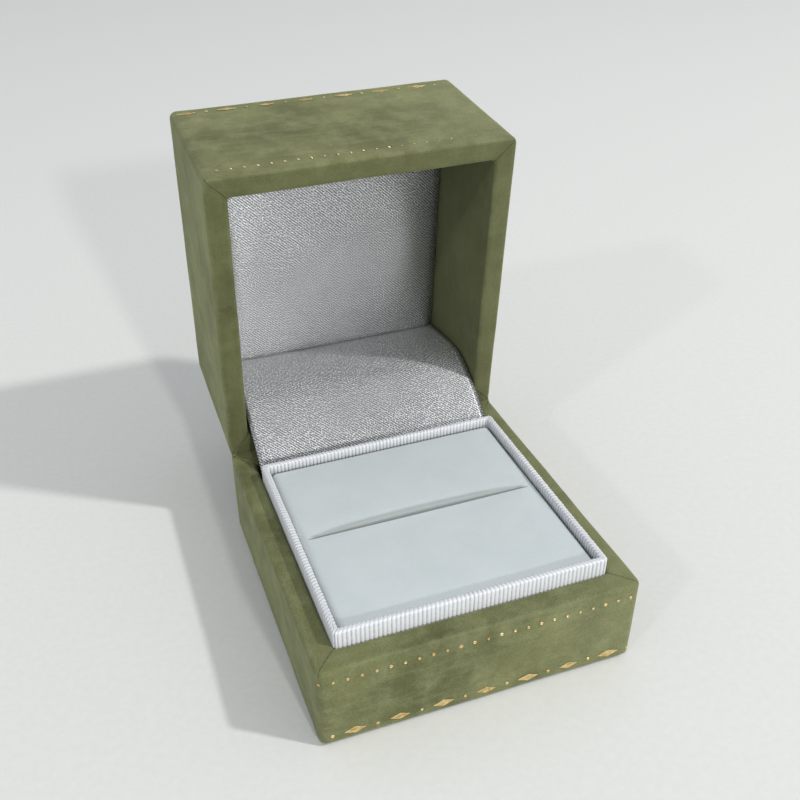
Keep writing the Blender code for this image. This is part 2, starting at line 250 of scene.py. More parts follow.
def mottle(finish, where, per_metre, detail=3.0, rough=0.55, stretch=(1, 1, 1)):
    """Noise with this many patches in a metre."""
    scale = [per_metre * s for s in stretch]
    spread = add(finish, "Mapping", {"Vector": where, "Scale": scale})
    links = {"Vector": spread.outputs[0], "Scale": 1.0, "Detail": detail, "Roughness": rough}
    return add(finish, "TexNoise", links).outputs["Fac"]


def sum_of(finish, operation, first, second=0.0):
    return add(finish, "Math", {0: first, 1: second}, operation=operation).outputs[0]


def remap(finish, value, low, high, to_low=0.0, to_high=1.0):
    links = {"Value": value, 1: low, 2: high, 3: to_low, 4: to_high}
    return add(finish, "MapRange", links).outputs[0]


def blend_colours(finish, share, first, second, how="MIX"):
    links = {0: share, 6: first, 7: second}
    return add(finish, "Mix", links, data_type="RGBA", blend_type=how).outputs[2]


def shade_with(finish, colour, grey):
    """Darken or lighten a colour by a grey value, for dust, grit and soft clouds."""
    shade = add(finish, "CombineXYZ", {0: grey, 1: grey, 2: grey}).outputs[0]
    return blend_colours(finish, 1.0, colour, shade, how="MULTIPLY")


def raise_surface(finish, height, strength, depth_mm, under=None):
    links = {"Height": height, "Strength": strength, "Distance": depth_mm * MM}
    if under is not None:
        links["Normal"] = under
    return add(finish, "Bump", links).outputs[0]


# %% [markdown]
# ## Suede
#
# The case is covered with a short-napped suede cloth. Where the nap is stroked one way it looks
# pale, and the other way deep, which gives soft clouds several millimetres wide. Fine strokes
# run along each wall, and the fibres themselves are a tenth of a millimetre. Folded edges rub
# pale first, so each suede mesh carries a value for its worn edges. The covers also carry a value
# for painted shade: a deeper olive painted on the rim and down the inside.

# %% Suede finish
OLIVE_DEEP = (0.098, 0.106, 0.045, 1)
OLIVE = (0.166, 0.176, 0.077, 1)
OLIVE_PALE = (0.280, 0.292, 0.155, 1)
OLIVE_PAINTED_SHADE = (0.066, 0.072, 0.028, 1)
OLIVE_WORN = (0.230, 0.240, 0.145, 1)


def make_suede():
    finish = new_finish(
        "olive_suede", Roughness=0.95, Specular_IOR_Level=0.12,
        Sheen_Weight=0.5, Sheen_Roughness=0.42, Sheen_Tint=(0.58, 0.60, 0.38, 1),
    )
    body = place_on(finish)
    nap = place_on(finish, "nap")
    clouds = mottle(finish, body, 62, detail=5.0, rough=0.58)
    drifts = mottle(finish, body, 210, detail=4.0, rough=0.62)
    strokes = mottle(finish, nap, 620, detail=3.0, stretch=(0.12, 1, 1))
    fibres = mottle(finish, body, 5200, detail=2.0)
    patches = remap(finish, clouds, 0.38, 0.64)
    colour = blend_colours(finish, patches, OLIVE_DEEP, OLIVE)
    lift = sum_of(finish, "MULTIPLY", remap(finish, drifts, 0.44, 0.74), 0.5)
    colour = blend_colours(finish, lift, colour, OLIVE_PALE)
    # paler towards the right-hand side of the box, from x = 4 mm out to 30 mm
    across = add(finish, "SeparateXYZ", {0: body}).outputs[0]
    colour = blend_colours(finish, remap(finish, across, 0.004, 0.03, 0.0, 0.3), colour, OLIVE_PALE)
    streaks = sum_of(finish, "MULTIPLY", remap(finish, strokes, 0.5, 0.78), 0.28)
    colour = blend_colours(finish, streaks, colour, OLIVE_PALE)
    colour = shade_with(finish, colour, remap(finish, fibres, 0.3, 0.7, 0.76, 1.22))
    # painted shade: the rim and the inside of a cover are coloured a deeper olive
    painted_shade = add(finish, "Attribute", attribute_name="painted_rim_shade").outputs["Fac"]
    colour = blend_colours(finish, painted_shade, colour, OLIVE_PAINTED_SHADE)
    worn = add(finish, "Attribute", attribute_name="worn_edge").outputs["Fac"]
    rubbed = sum_of(finish, "MULTIPLY", worn, remap(finish, drifts, 0.35, 0.7, 0.0, 0.4))
    colour = blend_colours(finish, rubbed, colour, OLIVE_WORN)
    feed(finish, "Base Color", colour)
    coarse = raise_surface(finish, drifts, 0.12, 0.35)
    brushed = raise_surface(finish, strokes, 0.18, 0.12, coarse)
    feed(finish, "Normal", raise_surface(finish, fibres, 0.5, 0.08, brushed))
    feed(finish, "Roughness", remap(finish, fibres, 0.3, 0.7, 0.86, 1.0))
    return finish


suede = make_suede()


# %% [markdown]
# ## The suede cover of the base and the lid
#
# One long strip of suede goes round the outside of each case, over the rim and down the inside.
# It is modelled that way: a sleeve outside, a sleeve inside, and a bridge between them for the
# rim. Bevels round the folds. At the corners of the rim the cloth is cut and tucked, which leaves
# a mitre seam. The back wall has openings for the hinge knuckles. The lid's cover is the same
# thing upside down, so one function makes both.

# %% Sleeves and covers
CORNER = 1.4
CORNER_STEPS = 5
CELL = 1.6


def sleeve(bm, half_x, half_y, low, high, radius, steps):
    """Four upright walls with rounded corners, open above and below."""
    corners = set(block(bm, (-half_x, -half_y, low), (half_x, half_y, high)))
    upright = [
        e for e in bm.edges
        if e.verts[0] in corners and abs(e.verts[0].co.z - e.verts[1].co.z) > (high - low) / 2
    ]
    old_faces = {f for f in bm.faces if not corners.intersection(f.verts)}
    round_edges(bm, upright, radius, steps)
    ends = [f for f in bm.faces if f not in old_faces and abs(f.normal.z) > 0.9]
    bmesh.ops.delete(bm, geom=ends, context="FACES")


def edges_at(bm, height):
    """The open edges at this height."""
    return [
        e for e in bm.edges if e.is_boundary and all(abs(v.co.z - height) < 1e-4 for v in e.verts)
    ]


def grow_edges(bm, edges):
    """Extrude open edges in place. Returns the new vertices and the new open edges."""
    grown = bmesh.ops.extrude_edge_only(bm, edges=edges)["geom"]
    verts = {g for g in grown if isinstance(g, bmesh.types.BMVert)}
    return verts, [e for e in bm.edges if verts.issuperset(e.verts)]


def fold_over(bm, half_x, half_y, wall, radii, inside):
    """Carry the top edge of a sleeve inwards over the rim, and down the inside of the wall."""
    outer, inner = radii
    verts, edges = grow_edges(bm, edges_at(bm, 0.0))
    for vert in verts:
        for axis, half in ((0, half_x), (1, half_y)):
            reach, straight = abs(vert.co[axis]), half - outer
            inner_straight = half - wall - inner
            if reach <= straight + 1e-4:
                moved = reach * inner_straight / straight
            else:
                moved = inner_straight + (reach - straight) * inner / outer
            vert.co[axis] = math.copysign(moved, vert.co[axis])
    lowest, _ = grow_edges(bm, edges)
    bmesh.ops.translate(bm, verts=list(lowest), vec=(0, 0, -inside))
    bm.normal_update()
    bmesh.ops.recalc_face_normals(bm, faces=bm.faces)


def folds_at(bm, height):
    """The edges at this height where two faces meet at a real angle."""
    return [
        e for e in bm.edges
        if len(e.link_faces) == 2 and e.calc_face_angle() > 1.0
        and all(abs(v.co.z - height) < 1e-3 for v in e.verts)
    ]


def turn_in(bm, depth, half_x, half_y):
    """Fold the lower edge of the outside in under the case."""
    low = min(v.co.z for v in bm.verts)
    verts, _ = grow_edges(bm, edges_at(bm, low))
    bmesh.ops.scale(bm, verts=list(verts), vec=(1 - depth / half_x, 1 - depth / half_y, 1))
    bm.normal_update()
    bmesh.ops.recalc_face_normals(bm, faces=bm.faces)
    return low


# %% Mitre seams and hinge openings
SEAM_HALF = 0.17
SEAM_DEPTH = 0.24
SEAM_DROP = 1.2
SEAM_MARGIN = 0.9


def sew_mitre(bm, side_x, side_y, half_x, half_y, wall, lip):
    """A tucked seam over the rim, from the inner corner to the outer one."""
    corner = Vector((side_x * half_x, side_y * half_y, 0))
    across = Vector((side_y, -side_x, 0)).normalized()
    reach = wall + SEAM_MARGIN

    def near(p):
        return p.z > -SEAM_DROP and p.x * side_x > half_x - reach and p.y * side_y > half_y - reach

    for offset in (-SEAM_HALF, 0.0, SEAM_HALF):
        cut_with_plane(bm, corner + across * offset, across, near)
    bm.normal_update()
    moves = []
    for vert in bm.verts:
        offset = (vert.co - corner).dot(across)
        if near(vert.co) and vert.normal.z > 0.05:
            if abs(offset) < 1e-3:
                moves.append((vert, -vert.normal * SEAM_DEPTH))
            elif abs(offset - SEAM_HALF) < 1e-3:
                moves.append((vert, vert.normal * lip))
    for vert, shift in moves:
        vert.co += shift


# Each opening: from x, to x, how far down from the rim, and whether it is in the inner side only.
HINGE_OPENINGS = [
    (-20.2, -12.5, -3.0, False),
    (12.5, 20.2, -3.0, False),
    (-21.3, 21.3, -13.3, True),
]
LEAF_TOP = -2.9


def pinch_back_fold(bm, half_y):
    """Where the two halves meet at the hinge the cloths press together in a sharp fold."""
    for vert in bm.verts:
        drop, inset = -vert.co.z, half_y - vert.co.y
        if drop <= RIM_ROUND + 0.1 and inset <= RIM_ROUND + 0.1:
            vert.co.z = HINGE_BEAD - max(0.0, drop) * PINCH
            vert.co.y = half_y - max(0.0, inset) * PINCH


def open_for_hinge(bm, half_y, wall):
    """Take away the cloth in front of the knuckles and the leaf."""

    def back_wall(p):
        return p.y > half_y - wall - 0.5

    def inner_side(p):
        return p.y < half_y - wall + 0.3 and p.z < LEAF_TOP

    for x_low, x_high, z_low, inside_only in HINGE_OPENINGS:
        for axis, place in ((0, x_low), (0, x_high), (2, z_low)):
            cut_along(bm, axis, place, back_wall)
        gone = []
        for face in bm.faces:
            p = face.calc_center_median()
            inside = x_low < p.x < x_high and p.z > z_low and back_wall(p)
            if inside and (not inside_only or inner_side(p)):
                gone.append(face)
        bmesh.ops.delete(bm, geom=gone, context="FACES")


# %% The nap map and the worn edges
def lay_nap(bm, half_x, half_y, wall):
    """Unroll the strip: along the wall, and up, over the rim and down."""
    nap = bm.loops.layers.uv.new("nap")
    for face in bm.faces:
        middle = face.calc_center_median()
        on_side = half_x - abs(middle.x) < half_y - abs(middle.y)
        depth = half_x - abs(middle.x) if on_side else half_y - abs(middle.y)
        for loop in face.loops:
            p = loop.vert.co
            inward = half_x - abs(p.x) if on_side else half_y - abs(p.y)
            around = inward + p.z if depth < wall / 2 else inward - p.z
            along = p.y if on_side else p.x + 200.0
            loop[nap].uv = (along * MM, around * MM)


def mark_painted_shade(bm, half_x, half_y, amount):
    """Painted shade: a deeper colour painted on the rim and down the inside."""
    painted_shade = bm.verts.layers.float.new("painted_rim_shade")
    for vert in bm.verts:
        inward = min(half_x - abs(vert.co.x), half_y - abs(vert.co.y))
        vert[painted_shade] = amount * min(1.0, max(0.0, inward / 0.6))


def mark_worn_edges(bm):
    """1 on a rounded fold, 0 on a flat wall, read from how slanted the surface is."""
    bm.normal_update()
    worn = bm.verts.layers.float.new("worn_edge")
    for vert in bm.verts:
        slant = 1.0 - max(abs(part) for part in vert.normal)
        vert[worn] = min(1.0, slant / 0.25)


# %% Making a cover
INNER_CORNER = 0.8
RIM_ROUND = 0.7
TURNED_IN = 7.0
HINGE_BEAD = 0.2
PINCH = 0.04


def suede_strip(half_x, half_y, wall, outside, inside, painted_shade, seed):
    """A cover with its rim at z = 0, so deep outside and inside, and this much painted shade on its rim and
    inside.
    """
    bm = bmesh.new()
    sleeve(bm, half_x, half_y, -outside, 0.0, CORNER, CORNER_STEPS)
    fold_over(bm, half_x, half_y, wall, (CORNER, INNER_CORNER), inside)
    low = turn_in(bm, TURNED_IN, half_x, half_y)
    round_edges(bm, folds_at(bm, 0.0) + folds_at(bm, low), RIM_ROUND, 4)
    slice_into_cells(bm, CELL)
    open_for_hinge(bm, half_y, wall)
    rng = random.Random(seed)
    for side_x in (-1, 1):
        for side_y in (-1, 1):
            sew_mitre(bm, side_x, side_y, half_x, half_y, wall, rng.uniform(0.02, 0.10))
    lay_nap(bm, half_x, half_y, wall)
    mark_worn_edges(bm)
    mark_painted_shade(bm, half_x, half_y, painted_shade)
    make_uneven(bm, 0.09, 14.0, seed)
    make_uneven(bm, 0.035, 4.0, seed + 1)
    pinch_back_fold(bm, half_y)
    return bm


# %% Base and lid covers
BASE_INSIDE = 12.4
BASE_WALL = 4.35
LID_WALL = 4.2
CLOTH = 0.6
PANEL_PROUD = 0.25
BEHIND_LINING = 1.0

foot_low, foot_high = box_of("base_bottom_cloth")
bm = suede_strip(HALF_X, HALF_Y, BASE_WALL, RIM - foot_high.z, BASE_INSIDE, painted_shade=0.0, seed=3)
base_cover = store("base_suede_cover", bm, suede, Matrix.Translation((0, 0, RIM)))
give_thickness(base_cover, CLOTH)
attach(base_cover, "base")
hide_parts("base_wrap")

lid_middle = (lid_low.y + lid_high.y) / 2
panel_low, panel_high = box_of("lid_top_panel", shut=True)
lining_low, lining_high = box_of("lid_lining_satin", shut=True)
lid_outside = panel_high.z - PANEL_PROUD - lid_low.z
lid_inside = lining_low.z + BEHIND_LINING - lid_low.z
# the lid's cover gets painted shade on its rim and inside, the base's cover gets none
bm = suede_strip(HALF_X, HALF_Y, LID_WALL, lid_outside, lid_inside, painted_shade=0.5, seed=8)
upside_down = Matrix.Diagonal((1, 1, -1, 1))
bmesh.ops.reverse_faces(bm, faces=bm.faces)
shut_place = Matrix.Translation((0, lid_middle, lid_low.z)) @ upside_down
lid_cover = store("lid_suede_cover", bm, suede, OPEN_LID @ shut_place)
give_thickness(lid_cover, CLOTH)
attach(lid_cover, "lid")
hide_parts("lid_wrap")


# %% [markdown]
# ## Closing cloths
#
# The turned-in edges are hidden by a flat piece of the same suede, one under the base and one on
# top of the lid. They are cut a little smaller than the case and lie almost flush.

# %% Under the base and on the lid
def closing_cloth(low, high):
    bm = bmesh.new()
    block(bm, low, high)
    round_edges(bm, upright_edges(bm, 1e-3), 1.2, 4)
    flat_rims = [e for e in bm.edges if e.calc_face_angle() > 1.0]
    round_edges(bm, flat_rims, 0.12, 2)
    slice_into_cells(bm, 2.2, axes=(0, 1))
    nap = bm.loops.layers.uv.new("nap")
    for face in bm.faces:
        for loop in face.loops:
            loop[nap].uv = (loop.vert.co.x * MM, loop.vert.co.y * MM)
    mark_worn_edges(bm)
    return bm


base_foot = store("base_foot_cloth", closing_cloth(foot_low, foot_high), suede)
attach(base_foot, "base")
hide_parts("base_bottom_cloth")

bm = closing_cloth(panel_low, panel_high)
lid_top = store("lid_top_cloth", bm, suede, OPEN_LID)
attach(lid_top, "lid")
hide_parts("lid_top_panel")

# %% [markdown]
# ## Gold tooling
#
# A heated brass tool presses gold foil into the suede along the front: a row of dots near the
# rim, and a row of long lozenges with dots between them near the other edge. Each mark is a
# shallow pan whose lower slope catches the light. The same small mesh is repeated with tiny
# differences in size and tilt, as hand pressure gives.

# %% Gold foil finish
def make_gold_foil():
    finish = new_finish("gold_foil", Metallic=1.0, Roughness=0.3, Specular_IOR_Level=0.6)
    body = place_on(finish)
    crumple = mottle(finish, body, 4200, detail=3.0)
    patches = mottle(finish, body, 900, detail=2.0)
    tone = remap(finish, patches, 0.35, 0.65)
    colour = blend_colours(finish, tone, (0.62, 0.42, 0.15, 1), (0.90, 0.72, 0.38, 1))
    feed(finish, "Base Color", colour)
    feed(finish, "Roughness", remap(finish, crumple, 0.3, 0.7, 0.22, 0.5))
    feed(finish, "Normal", raise_surface(finish, crumple, 0.5, 0.05))
    return finish


gold_foil = make_gold_foil()


# %% Foil marks
def press_mark(bm, corners, half_long, half_high, x, z, rng):
    """A shallow pan in the XZ plane, facing -Y: a raised rim and a sunken floor."""
    made = bmesh.ops.create_circle(bm, cap_ends=True, segments=corners, radius=1.0)
    verts = made["verts"]
    face = next(iter({f for v in verts for f in v.link_faces}))
    bmesh.ops.scale(bm, verts=verts, vec=(half_long, half_high, 1.0))
    rim = bmesh.ops.inset_region(
        bm, faces=[face], thickness=half_high * 0.18, depth=0.05, use_boundary=True
    )
    floor = bmesh.ops.inset_region(
        bm, faces=[face], thickness=half_high * 0.28, depth=-0.06, use_boundary=True
    )
    everything = {v for f in (face, *rim["faces"], *floor["faces"]) for v in f.verts}
    tilt = Matrix.Rotation(rng.uniform(-0.06, 0.06), 4, "Z")
    size = rng.uniform(0.9, 1.08)
    stand = Matrix.Rotation(math.radians(90), 4, "X")
    place = Matrix.Translation((x, 0, z)) @ stand @ tilt @ Matrix.Scale(size, 4)
    bmesh.ops.transform(bm, matrix=place, verts=list(everything))


DOT = 0.36
BASE_LOZENGE = (2.05, 0.82)
LID_LOZENGE = (1.9, 0.55)


def tooling(dot_row, mixed_row, lozenge, glint_fade, rng):
    """Both rows of marks, with the front face at y = 0. The glint fade makes the right-hand dots small, standing
    in for their glint fading towards the right.
    """
    bm = bmesh.new()
    row_z, first, pitch, count = dot_row
    for step in range(count):
        size = DOT * rng.uniform(0.75, 1.1) * (1.0 - glint_fade * step / count)
        press_mark(bm, 10, size, size, first + pitch * step, row_z + rng.uniform(-0.06, 0.06), rng)
    row_z, first, pitch, count, starts_with_dot = mixed_row
    for step in range(count):
        x = first + pitch * step / 2
        if (step % 2 == 0) == starts_with_dot:
            size = DOT * rng.uniform(0.75, 1.1)
            press_mark(bm, 10, size, size, x, row_z + rng.uniform(-0.08, 0.08), rng)
        else:
            press_mark(bm, 4, *lozenge, x, row_z, rng)
    wrap_round_corners(bm)
    bm.normal_update()
    return bm


def wrap_round_corners(bm):
    """Marks past the flat front bend round the corner of the case."""
    flat = HALF_X - CORNER
    for vert in bm.verts:
        over = abs(vert.co.x) - flat
        if over > 0:
            radius, angle = CORNER - vert.co.y, over / CORNER
            vert.co.x = math.copysign(flat + radius * math.sin(angle), vert.co.x)
            vert.co.y = CORNER - radius * math.cos(angle)


# Each row: its height, the first mark, the pitch and the count, then whether a dot comes first.
BASE_DOTS = (15.55, -29.7, 2.51, 24)
BASE_MIXED = (2.5, -27.8, 8.14, 15, True)
LID_DOTS = (3.1, -26.8, 2.47, 22)
LID_MIXED = (30.4, -27.0, 8.06, 14, False)
# the lid's rim dots shrink towards the right, standing in for their glint fading out
LID_GLINT_FADE = 0.75
FOIL_PROUD = 0.08
rng = random.Random(21)
bm = tooling(BASE_DOTS, BASE_MIXED, BASE_LOZENGE, 0.0, rng)
front = Matrix.Translation((0, base_low.y - FOIL_PROUD, 0))
base_foil = store("base_gold_tooling", bm, gold_foil, front, sharp=20.0)
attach(base_foil, "base")

bm = tooling(LID_DOTS, LID_MIXED, LID_LOZENGE, LID_GLINT_FADE, rng)
front = OPEN_LID @ Matrix.Translation((0, lid_low.y - FOIL_PROUD, 0))
lid_foil = store("lid_gold_tooling", bm, gold_foil, front, sharp=20.0)
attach(lid_foil, "lid")

# %% [markdown]
# ## Grosgrain ribbon
#
# The insert is edged with grosgrain, a ribbon with a thick weft that makes ribs straight across
# it. Painted ribs look flat at the folded top edge, so the ribs are real here: the band is made
# as two sleeves and a rim, cut very finely along its length, and each rib is pushed out.

# %% Ribbon finish
def make_ribbon_finish():
    finish = new_finish(
        "white_grosgrain", Roughness=0.55, Specular_IOR_Level=0.4,
        Sheen_Weight=0.25, Sheen_Roughness=0.3,
    )
    weave = place_on(finish, "weave")
    threads = mottle(finish, weave, 1.0, detail=2.0, stretch=(6.0, 9000.0, 1))
    slubs = mottle(finish, place_on(finish), 2600, detail=2.0)
    hollow_shade = add(finish, "Attribute", attribute_name="rib_hollow_shade").outputs["Fac"]
    # painted shade: the hollows between the ribs are coloured much darker
    colour = blend_colours(finish, hollow_shade, (0.76, 0.775, 0.80, 1), (0.36, 0.375, 0.41, 1))
    tint = sum_of(finish, "MULTIPLY", remap(finish, slubs, 0.35, 0.7), 0.35)
    colour = blend_colours(finish, tint, colour, (0.86, 0.87, 0.89, 1))
    feed(finish, "Base Color", colour)
    fine = raise_surface(finish, threads, 0.35, 0.05)
    feed(finish, "Normal", raise_surface(finish, slubs, 0.3, 0.06, fine))
    return finish


ribbon_finish = make_ribbon_finish()

# %% Ribbed band
RIB_PITCH = 0.79
RIB_STEPS = 6
RIB_HEIGHT = 0.17
band_low, band_high = box_of("ribbon_band")
BAND_SNUG = 0.05
RIBBON = 0.25
BAND = 1.2
BAND_CORNERS = (0.75, 0.35)
BAND_INSIDE = 3.2
BAND_ROUND = 0.42
BAND_DROP = 0.05
band_half = Vector((
    (band_high.x - band_low.x) / 2 + BAND_SNUG,
    (band_high.y - band_low.y) / 2 + BAND_SNUG,
))
band_middle = (band_high.y + band_low.y) / 2


def straight_half(half, inward):
    """Half the straight part of a side, which shortens from the outer loop to the inner one."""
    outer = half - BAND_CORNERS[0]
    inner = half - BAND - BAND_CORNERS[1]
    return outer + (inner - outer) * min(1.0, max(0.0, inward / BAND))


def rib_count(p, ribs_x, ribs_y):
    """How many ribs from the start of its side this point is."""
    inward = min(band_half.x - abs(p.x), band_half.y - abs(p.y))
    reach_x, reach_y = straight_half(band_half.x, inward), straight_half(band_half.y, inward)
    if abs(p.x) <= reach_x + 1e-3:
        return ribs_x * (p.x + reach_x) / (2 * reach_x)
    if abs(p.y) <= reach_y + 1e-3:
        return ribs_y * (p.y + reach_y) / (2 * reach_y)
    return 4 * math.atan2(abs(p.y) - reach_y, abs(p.x) - reach_x) / math.pi


def ribbed_band():
    bm = bmesh.new()
    sleeve(bm, *band_half, -(band_high.z - band_low.z), 0.0, BAND_CORNERS[0], 2 * RIB_STEPS)
    fold_over(bm, *band_half, BAND, BAND_CORNERS, BAND_INSIDE)
    round_edges(bm, folds_at(bm, 0.0), BAND_ROUND, 4)
    cut_along(bm, 2, -4.6)
    ribs_x = round(2 * straight_half(band_half.x, 0) / RIB_PITCH)
    ribs_y = round(2 * straight_half(band_half.y, 0) / RIB_PITCH)
    for axis, ribs in ((0, ribs_x), (1, ribs_y)):
        long_edges = [
            e for e in bm.edges if abs(e.verts[0].co[axis] - e.verts[1].co[axis]) > band_half[axis]
        ]
        bmesh.ops.subdivide_edges(
            bm, edges=long_edges, cuts=ribs * RIB_STEPS - 1, use_grid_fill=True
        )
    bm.normal_update()
    hollow_shade = bm.verts.layers.float.new("rib_hollow_shade")
    rng = random.Random(5)
    swell = [rng.uniform(0.8, 1.15) for _ in range(ribs_x + ribs_y)]
    moves = []
    for vert in bm.verts:
        count = rib_count(vert.co, ribs_x, ribs_y)
        crown = abs(math.sin(math.pi * count)) ** 0.7
        # how much painted shade each point gets, full in the hollows between the ribs
        vert[hollow_shade] = (1.0 - crown) ** 1.5
        rise = RIB_HEIGHT * (crown * swell[int(count) % len(swell)] - 0.75)
        moves.append(vert.normal * rise)
    weave = bm.loops.layers.uv.new("weave")
    for face in bm.faces:
        for loop in face.loops:
            p = loop.vert.co
            loop[weave].uv = ((p.x + p.y) * MM, (p.z - abs(p.x) - abs(p.y)) * MM)
    for vert, move in zip(bm.verts, moves):
        vert.co += move
    print("ribs along the front:", ribs_x)
    return bm


bm = ribbed_band()
band_place = Matrix.Translation((0, band_middle, band_high.z - BAND_DROP))
ribbon = store("grosgrain_ribbon", bm, ribbon_finish, band_place, sharp=80.0)
give_thickness(ribbon, RIBBON)
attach(ribbon, "base")
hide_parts("ribbon_band")

# %% [markdown]
# ## Blowing up a soft piece
#
# Foam under cloth pushes the cloth out until the weave stops it. A short cloth simulation does
# the same: the mesh is held at its hidden side, pressed from inside, and stopped after twenty
# steps. It is run ten times larger, because the solver is happier with a cushion than with a
# thimble, and no point may move further than a cap, so the piece stays near its solid.


# %% Pressing from inside
SIM_SCALE = 0.01
SIM_STEPS = 20
SIDEWAYS = 0.15


def puff_up(bm, held, pressure, cap):
    """Press a bmesh in mm outwards, apart from the vertices that held() picks."""
    mesh = bpy.data.meshes.new("puffing")
    rest = [v.co.copy() for v in bm.verts]
    bm.to_mesh(mesh)
    mesh.transform(Matrix.Scale(SIM_SCALE, 4))
    piece = bpy.data.objects.new("puffing", mesh)
    bpy.context.scene.collection.objects.link(piece)
    pins = piece.vertex_groups.new(name="held")
    pins.add([i for i, p in enumerate(rest) if held(p)], 1.0, "REPLACE")
    cloth = piece.modifiers.new("puff", "CLOTH")
    cloth.settings.quality = 5
    cloth.settings.mass = 0.3
    cloth.settings.tension_stiffness = 20
    cloth.settings.compression_stiffness = 20
    cloth.settings.bending_stiffness = 0.3
    cloth.settings.use_pressure = True
    cloth.settings.uniform_pressure_force = pressure
    cloth.settings.vertex_group_mass = "held"
    cloth.settings.effector_weights.gravity = 0.0
    cloth.collision_settings.use_collision = False
    cloth.point_cache.frame_start = 1
    cloth.point_cache.frame_end = SIM_STEPS
    for step in range(1, SIM_STEPS + 1):
        bpy.context.scene.frame_set(step)
    shaped = piece.evaluated_get(bpy.context.evaluated_depsgraph_get()).data
    furthest = 0.0
    for vert, start, end in zip(bm.verts, rest, shaped.vertices):
        move = end.co / SIM_SCALE - start
        move.x *= SIDEWAYS
        move.y *= SIDEWAYS
        furthest = max(furthest, move.length)
        if move.length > cap:
            move *= cap / move.length
        vert.co = start + move
    bpy.context.scene.frame_set(1)
    bpy.data.objects.remove(piece)
    bpy.data.meshes.remove(mesh)
    bm.normal_update()
    print("puffed by", round(furthest, 2), "mm before the cap of", cap)


# %% [markdown]
# ## The pad that holds the ring
#
# Flocked cloth is stretched over two blocks of foam, and the ring's band is pushed into the slit
# between them. The pad starts as a box with rounded edges. The slit is an edge line that is
# split, pulled open into a slim lens and drawn down into a groove, softer on the rear side.

# %% Flocked cloth finish
def make_flock():
    finish = new_finish(
        "white_flock", Roughness=0.95, Specular_IOR_Level=0.15,
        Sheen_Weight=0.3, Sheen_Roughness=0.5,
    )
    body = place_on(finish)
    nap = mottle(finish, body, 160, detail=4.0)
    fibres = mottle(finish, body, 6000, detail=2.0)
    tone = remap(finish, nap, 0.35, 0.65)
    colour = blend_colours(finish, tone, (0.575, 0.628, 0.636, 1), (0.60, 0.652, 0.662, 1))
    colour = shade_with(finish, colour, remap(finish, fibres, 0.3, 0.7, 0.93, 1.05))
    # painted shade: the slit and the rear slope beside it are coloured a dark grey-green
    slit_shade = add(finish, "Attribute", attribute_name="painted_slit_shade").outputs["Fac"]
    painted_shade = sum_of(finish, "MULTIPLY", slit_shade, 0.95)
    feed(finish, "Base Color", blend_colours(finish, painted_shade, colour, (0.22, 0.245, 0.225, 1)))
    soft = raise_surface(finish, nap, 0.15, 0.3)
    feed(finish, "Normal", raise_surface(finish, fibres, 0.35, 0.07, soft))
    return finish


flock = make_flock()

# %% Pad with its slit
cap_low, cap_high = box_of("pad_cover")
PAD_SNUG = 0.5
cap_low -= Vector((PAD_SNUG, PAD_SNUG, 0))
cap_high += Vector((PAD_SNUG, PAD_SNUG, 0.1))
SLIT_HALF_LONG = 22.3
SLIT_HALF_WIDE = 0.42
SLIT_DEEP = 5.5
SLIT_Y = -1.8
PAD_ROUND = 1.3
FRONT_LIP = 0.25
REAR_LIP = 1.7
FRONT_PROUD = 0.30
LIP_REACH = 3.2
SLIT_SHADE_WIDE = 2.3
SLIT_CUTS = (-1.5, -0.9, -0.45, -0.2, 0.0, 0.2, 0.45, 0.9, 1.3, 1.7, 2.1, 2.5, 2.9)
PAD_HELD = 2.2
PAD_PRESSURE = 0.05
PAD_CAP = 0.35


def slit_share(x):
    """1 at the middle of the slit, 0 at its ends."""
    return max(0.0, 1.0 - (x / SLIT_HALF_LONG) ** 2)


def slit_shade_share(away, share):
    """How much painted shade: fully in the slit, half way on the rear slope beside it."""
    reach = SLIT_SHADE_WIDE * math.sqrt(share)
    if reach == 0 or away < -0.1 or away > reach:
        return 0.0
    edge = min(1.0, 3.0 * (1.0 - away / reach))
    return edge * (0.55 + 0.45 * max(0.0, 1.0 - abs(away) / 0.5))


def pad_block():
    bm = bmesh.new()
    block(bm, cap_low, cap_high)
    round_edges(bm, upright_edges(bm), 1.2, 4)
    round_edges(bm, folds_at(bm, cap_high.z), PAD_ROUND, 4)
    slice_into_cells(bm, 1.0)
    for offset in SLIT_CUTS:
        cut_along(bm, 1, SLIT_Y + offset, lambda p: p.z > cap_high.z - 0.1)
    return bm


